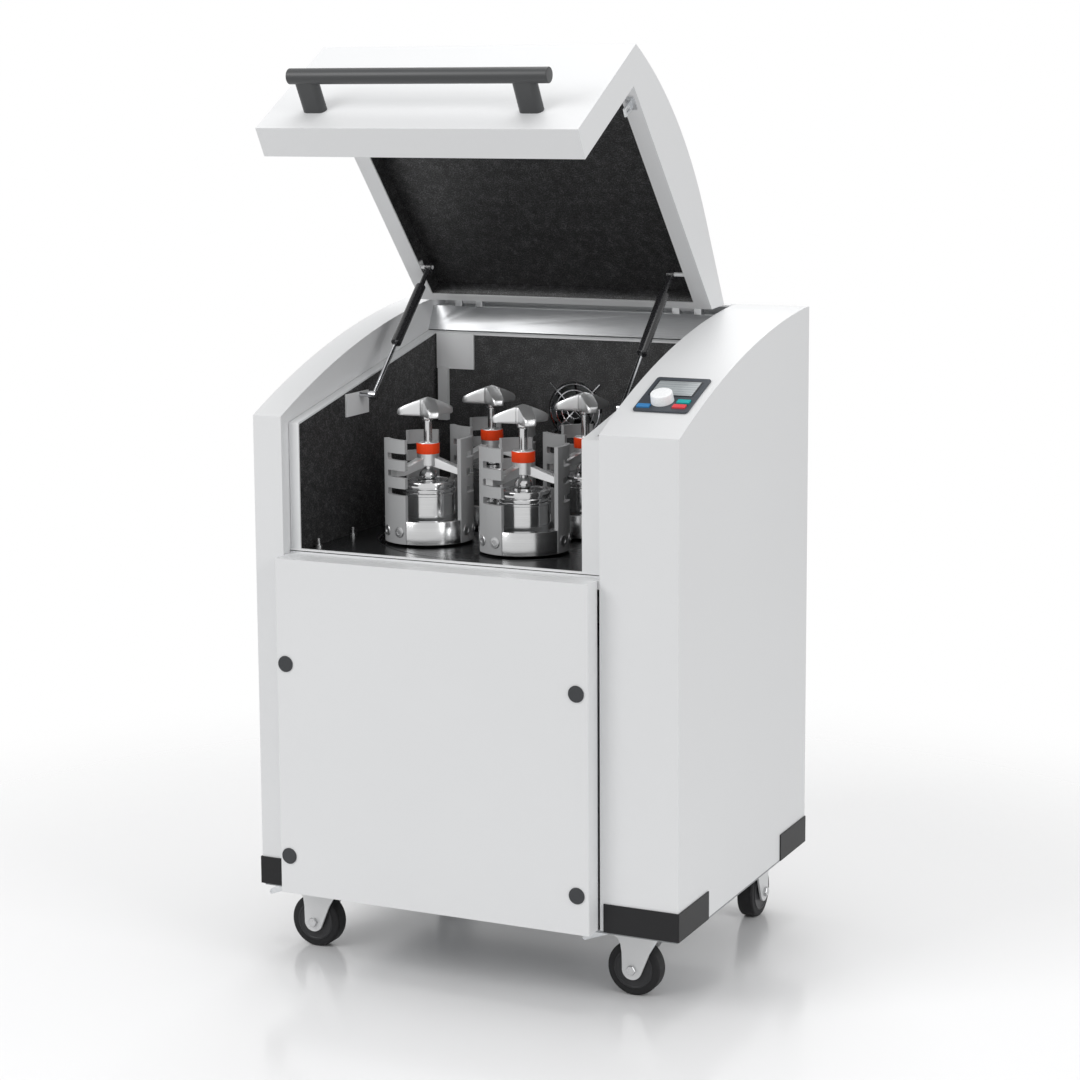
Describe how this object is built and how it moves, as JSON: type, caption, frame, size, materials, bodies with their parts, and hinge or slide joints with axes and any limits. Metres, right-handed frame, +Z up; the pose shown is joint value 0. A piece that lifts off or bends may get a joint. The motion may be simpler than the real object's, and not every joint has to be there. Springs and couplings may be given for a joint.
{
  "type": "planetary ball mill",
  "caption": "Floor-standing planetary ball mill on casters, with an open sprung lid over a chamber of clamped grinding jars on a turning sun wheel.",
  "frame": {"origin": "on the floor, at the middle of the box round the machine with its lid open", "axes": "+X to the right seen from the front, +Y to the back, +Z up"},
  "size_m": [0.8866, 0.741, 1.6914],
  "materials": {
    "cabinet_white": "light grey powder coat, satin",
    "frame_grey": "grey paint",
    "black_lining": "mottled black foam lining",
    "guard_black": "matt black",
    "cap_grey": "dark grey",
    "bar_grey": "dark grey powder coat, satin",
    "beam_aluminium": "brushed, anodised",
    "disc_steel": "dark turned steel",
    "holder_grey": "matt grey",
    "polished_steel": "polished stainless steel",
    "zinc": "bright zinc plate",
    "spring_black": "black gloss paint",
    "rod_chrome": "ground and chromed",
    "tyre_black": "black",
    "belt_rubber": "black",
    "bezel_anthracite": "anthracite",
    "knob_white": "white",
    "key_blue": "blue",
    "key_green": "teal green",
    "key_red": "red",
    "switch_black": "black"
  },
  "bodies": {
    "cabinet": {"inner_frame": "frame_grey", "left_column": "cabinet_white", "right_column": "cabinet_white", "rear_cover": "cabinet_white", "hinge_beam": "beam_aluminium", "front_panel": "cabinet_white", "panel_caps": "cap_grey", "corner_guards": "guard_black", "chamber_tub": "cabinet_white", "chamber_lining": "black_lining", "fan_housing": "guard_black", "bearing_housing": "frame_grey", "motor": "frame_grey", "drive_belt": "belt_rubber", "spring_brackets": "zinc", "control_bezel": "bezel_anthracite", "lid_lock": "zinc"},
    "fan": {"fan_rotor": "guard_black"},
    "sun": {"sun_wheel": "disc_steel", "planet_belts": "belt_rubber"},
    "motor_shaft": {"motor_pulley": "zinc"},
    "lid": {"lid_shell": "cabinet_white", "lid_lining": "black_lining", "lid_handle": "bar_grey", "lid_striker": "zinc"},
    "planet_front_left": {"holder_front_left": "holder_grey", "jar_front_left": "polished_steel"},
    "clamp_front_left": {"bridge_front_left": "polished_steel"},
    "screw_front_left": {"spindle_front_left": "polished_steel"},
    "planet_front_right": {"holder_front_right": "holder_grey", "jar_front_right": "polished_steel"},
    "clamp_front_right": {"bridge_front_right": "polished_steel"},
    "screw_front_right": {"spindle_front_right": "polished_steel"},
    "planet_rear_right": {"holder_rear_right": "holder_grey", "jar_rear_right": "polished_steel"},
    "clamp_rear_right": {"bridge_rear_right": "polished_steel"},
    "screw_rear_right": {"spindle_rear_right": "polished_steel"},
    "planet_rear_left": {"holder_rear_left": "holder_grey", "jar_rear_left": "polished_steel"},
    "clamp_rear_left": {"bridge_rear_left": "polished_steel"},
    "screw_rear_left": {"spindle_rear_left": "polished_steel"},
    "spring_cylinder_left": {"gas_cylinder_left": "spring_black"},
    "spring_rod_left": {"gas_rod_left": "rod_chrome"},
    "spring_cylinder_right": {"gas_cylinder_right": "spring_black"},
    "spring_rod_right": {"gas_rod_right": "rod_chrome"},
    "caster_front_left": {"caster_fork_front_left": "zinc"},
    "wheel_front_left": {"caster_wheel_front_left": "tyre_black"},
    "pedal_front_left": {"brake_pedal_front_left": "zinc"},
    "caster_front_right": {"caster_fork_front_right": "zinc"},
    "wheel_front_right": {"caster_wheel_front_right": "tyre_black"},
    "pedal_front_right": {"brake_pedal_front_right": "zinc"},
    "caster_rear_left": {"caster_fork_rear_left": "zinc"},
    "wheel_rear_left": {"caster_wheel_rear_left": "tyre_black"},
    "caster_rear_right": {"caster_fork_rear_right": "zinc"},
    "wheel_rear_right": {"caster_wheel_rear_right": "tyre_black"},
    "knob": {"control_knob": "knob_white"},
    "button_blue": {"key_blue": "key_blue"},
    "button_green": {"key_green": "key_green"},
    "button_red": {"key_red": "key_red"},
    "rocker": {"main_switch": "switch_black"}
  },
  "joints": [
    {"name": "lid_hinge", "type": "hinge", "parent": "cabinet", "child": "lid", "pos_m": [0, 0.31395, 1.194], "axis": [1, 0, 0], "range_deg": [0, 60]},
    {"name": "sun_spin", "type": "hinge", "parent": "cabinet", "child": "sun", "pos_m": [-0.02925, 0.00895, 0.7], "axis": [0, 0, 1], "continuous": true},
    {"name": "motor_spin", "type": "hinge", "parent": "cabinet", "child": "motor_shaft", "pos_m": [0.16075, 0.00895, 0.6], "axis": [0, 0, 1], "continuous": true},
    {"name": "planet_spin_front_left", "type": "hinge", "parent": "sun", "child": "planet_front_left", "pos_m": [-0.14905, -0.08132, 0.76], "axis": [0, 0, 1], "continuous": true},
    {"name": "bridge_turn_front_left", "type": "hinge", "parent": "planet_front_left", "child": "clamp_front_left", "pos_m": [-0.14905, -0.08132, 0.945], "axis": [0, 0, 1], "range_deg": [0, 34]},
    {"name": "spindle_turn_front_left", "type": "hinge", "parent": "clamp_front_left", "child": "screw_front_left", "pos_m": [-0.14905, -0.08132, 0.98], "axis": [0, 0, 1], "range_deg": [0, 360]},
    {"name": "planet_spin_front_right", "type": "hinge", "parent": "sun", "child": "planet_front_right", "pos_m": [0.06102, -0.11084, 0.76], "axis": [0, 0, 1], "continuous": true},
    {"name": "bridge_turn_front_right", "type": "hinge", "parent": "planet_front_right", "child": "clamp_front_right", "pos_m": [0.06102, -0.11084, 0.945], "axis": [0, 0, 1], "range_deg": [0, 34]},
    {"name": "spindle_turn_front_right", "type": "hinge", "parent": "clamp_front_right", "child": "screw_front_right", "pos_m": [0.06102, -0.11084, 0.98], "axis": [0, 0, 1], "range_deg": [0, 360]},
    {"name": "planet_spin_rear_right", "type": "hinge", "parent": "sun", "child": "planet_rear_right", "pos_m": [0.09055, 0.09922, 0.76], "axis": [0, 0, 1], "continuous": true},
    {"name": "bridge_turn_rear_right", "type": "hinge", "parent": "planet_rear_right", "child": "clamp_rear_right", "pos_m": [0.09055, 0.09922, 0.945], "axis": [0, 0, 1], "range_deg": [0, 34]},
    {"name": "spindle_turn_rear_right", "type": "hinge", "parent": "clamp_rear_right", "child": "screw_rear_right", "pos_m": [0.09055, 0.09922, 0.98], "axis": [0, 0, 1], "range_deg": [0, 360]},
    {"name": "planet_spin_rear_left", "type": "hinge", "parent": "sun", "child": "planet_rear_left", "pos_m": [-0.11952, 0.12875, 0.76], "axis": [0, 0, 1], "continuous": true},
    {"name": "bridge_turn_rear_left", "type": "hinge", "parent": "planet_rear_left", "child": "clamp_rear_left", "pos_m": [-0.11952, 0.12875, 0.945], "axis": [0, 0, 1], "range_deg": [0, 34]},
    {"name": "spindle_turn_rear_left", "type": "hinge", "parent": "clamp_rear_left", "child": "screw_rear_left", "pos_m": [-0.11952, 0.12875, 0.98], "axis": [0, 0, 1], "range_deg": [0, 360]},
    {"name": "spring_pivot_left", "type": "hinge", "parent": "lid", "child": "spring_cylinder_left", "pos_m": [-0.28225, 0.1881, 1.26798], "axis": [1, 0, 0], "range_deg": [-87.1, 2]},
    {"name": "spring_stroke_left", "type": "slide", "parent": "spring_cylinder_left", "child": "spring_rod_left", "axis": [0, -0.7225, -0.6913], "range_m": [-0.0805, 0.002]},
    {"name": "spring_pivot_right", "type": "hinge", "parent": "lid", "child": "spring_cylinder_right", "pos_m": [0.22775, 0.1881, 1.26798], "axis": [1, 0, 0], "range_deg": [-87.1, 2]},
    {"name": "spring_stroke_right", "type": "slide", "parent": "spring_cylinder_right", "child": "spring_rod_right", "axis": [0, -0.7225, -0.6913], "range_m": [-0.0805, 0.002]},
    {"name": "fan_spin", "type": "hinge", "parent": "cabinet", "child": "fan", "pos_m": [-0.00825, 0.29595, 0.989], "axis": [0, 1, 0], "continuous": true},
    {"name": "swivel_front_left", "type": "hinge", "parent": "cabinet", "child": "caster_front_left", "pos_m": [-0.30525, -0.17905, 0.144], "axis": [0, 0, 1], "continuous": true},
    {"name": "wheel_roll_front_left", "type": "hinge", "parent": "caster_front_left", "child": "wheel_front_left", "pos_m": [-0.34325, -0.17905, 0.05], "axis": [0, 1, 0], "continuous": true},
    {"name": "brake_front_left", "type": "hinge", "parent": "caster_front_left", "child": "pedal_front_left", "pos_m": [-0.31125, -0.17905, 0.116], "axis": [0, -1, 0], "range_deg": [0, 8]},
    {"name": "swivel_front_right", "type": "hinge", "parent": "cabinet", "child": "caster_front_right", "pos_m": [0.35075, -0.17905, 0.144], "axis": [0, 0, 1], "continuous": true},
    {"name": "wheel_roll_front_right", "type": "hinge", "parent": "caster_front_right", "child": "wheel_front_right", "pos_m": [0.31275, -0.17905, 0.05], "axis": [0, 1, 0], "continuous": true},
    {"name": "brake_front_right", "type": "hinge", "parent": "caster_front_right", "child": "pedal_front_right", "pos_m": [0.34475, -0.17905, 0.116], "axis": [0, -1, 0], "range_deg": [0, 8]},
    {"name": "swivel_rear_left", "type": "hinge", "parent": "cabinet", "child": "caster_rear_left", "pos_m": [-0.30525, 0.28195, 0.144], "axis": [0, 0, 1], "continuous": true},
    {"name": "wheel_roll_rear_left", "type": "hinge", "parent": "caster_rear_left", "child": "wheel_rear_left", "pos_m": [-0.30525, 0.31995, 0.05], "axis": [1, 0, 0], "continuous": true},
    {"name": "swivel_rear_right", "type": "hinge", "parent": "cabinet", "child": "caster_rear_right", "pos_m": [0.35075, 0.28195, 0.144], "axis": [0, 0, 1], "continuous": true},
    {"name": "wheel_roll_rear_right", "type": "hinge", "parent": "caster_rear_right", "child": "wheel_rear_right", "pos_m": [0.35075, 0.31995, 0.05], "axis": [1, 0, 0], "continuous": true},
    {"name": "knob_turn", "type": "hinge", "parent": "cabinet", "child": "knob", "pos_m": [0.36675, -0.19132, 1.07881], "axis": [0, -0.351, 0.9364], "continuous": true},
    {"name": "press_blue", "type": "slide", "parent": "cabinet", "child": "button_blue", "axis": [0, 0.351, -0.9364], "range_m": [0, 0.0015], "stiffness_N_per_m": 400, "springref_m": -0.001},
    {"name": "press_green", "type": "slide", "parent": "cabinet", "child": "button_green", "axis": [0, 0.351, -0.9364], "range_m": [0, 0.0015], "stiffness_N_per_m": 400, "springref_m": -0.001},
    {"name": "press_red", "type": "slide", "parent": "cabinet", "child": "button_red", "axis": [0, 0.351, -0.9364], "range_m": [0, 0.0015], "stiffness_N_per_m": 400, "springref_m": -0.001},
    {"name": "switch_rock", "type": "hinge", "parent": "cabinet", "child": "rocker", "pos_m": [-0.24525, 0.35695, 0.24], "axis": [1, 0, 0], "range_deg": [0, 16]}
  ],
  "couplings": [
    {"joint": "motor_spin", "follows": "sun_spin", "ratio": 2},
    {"joint": "planet_spin_front_left", "follows": "sun_spin", "ratio": -2},
    {"joint": "planet_spin_front_right", "follows": "sun_spin", "ratio": -2},
    {"joint": "planet_spin_rear_right", "follows": "sun_spin", "ratio": -2},
    {"joint": "planet_spin_rear_left", "follows": "sun_spin", "ratio": -2},
    {"joint": "spring_pivot_left", "follows": "lid_hinge", "ratio": -1.418},
    {"joint": "spring_stroke_left", "follows": "lid_hinge", "m_per_rad": -0.074929},
    {"joint": "spring_pivot_right", "follows": "lid_hinge", "ratio": -1.418},
    {"joint": "spring_stroke_right", "follows": "lid_hinge", "m_per_rad": -0.074929}
  ]
}
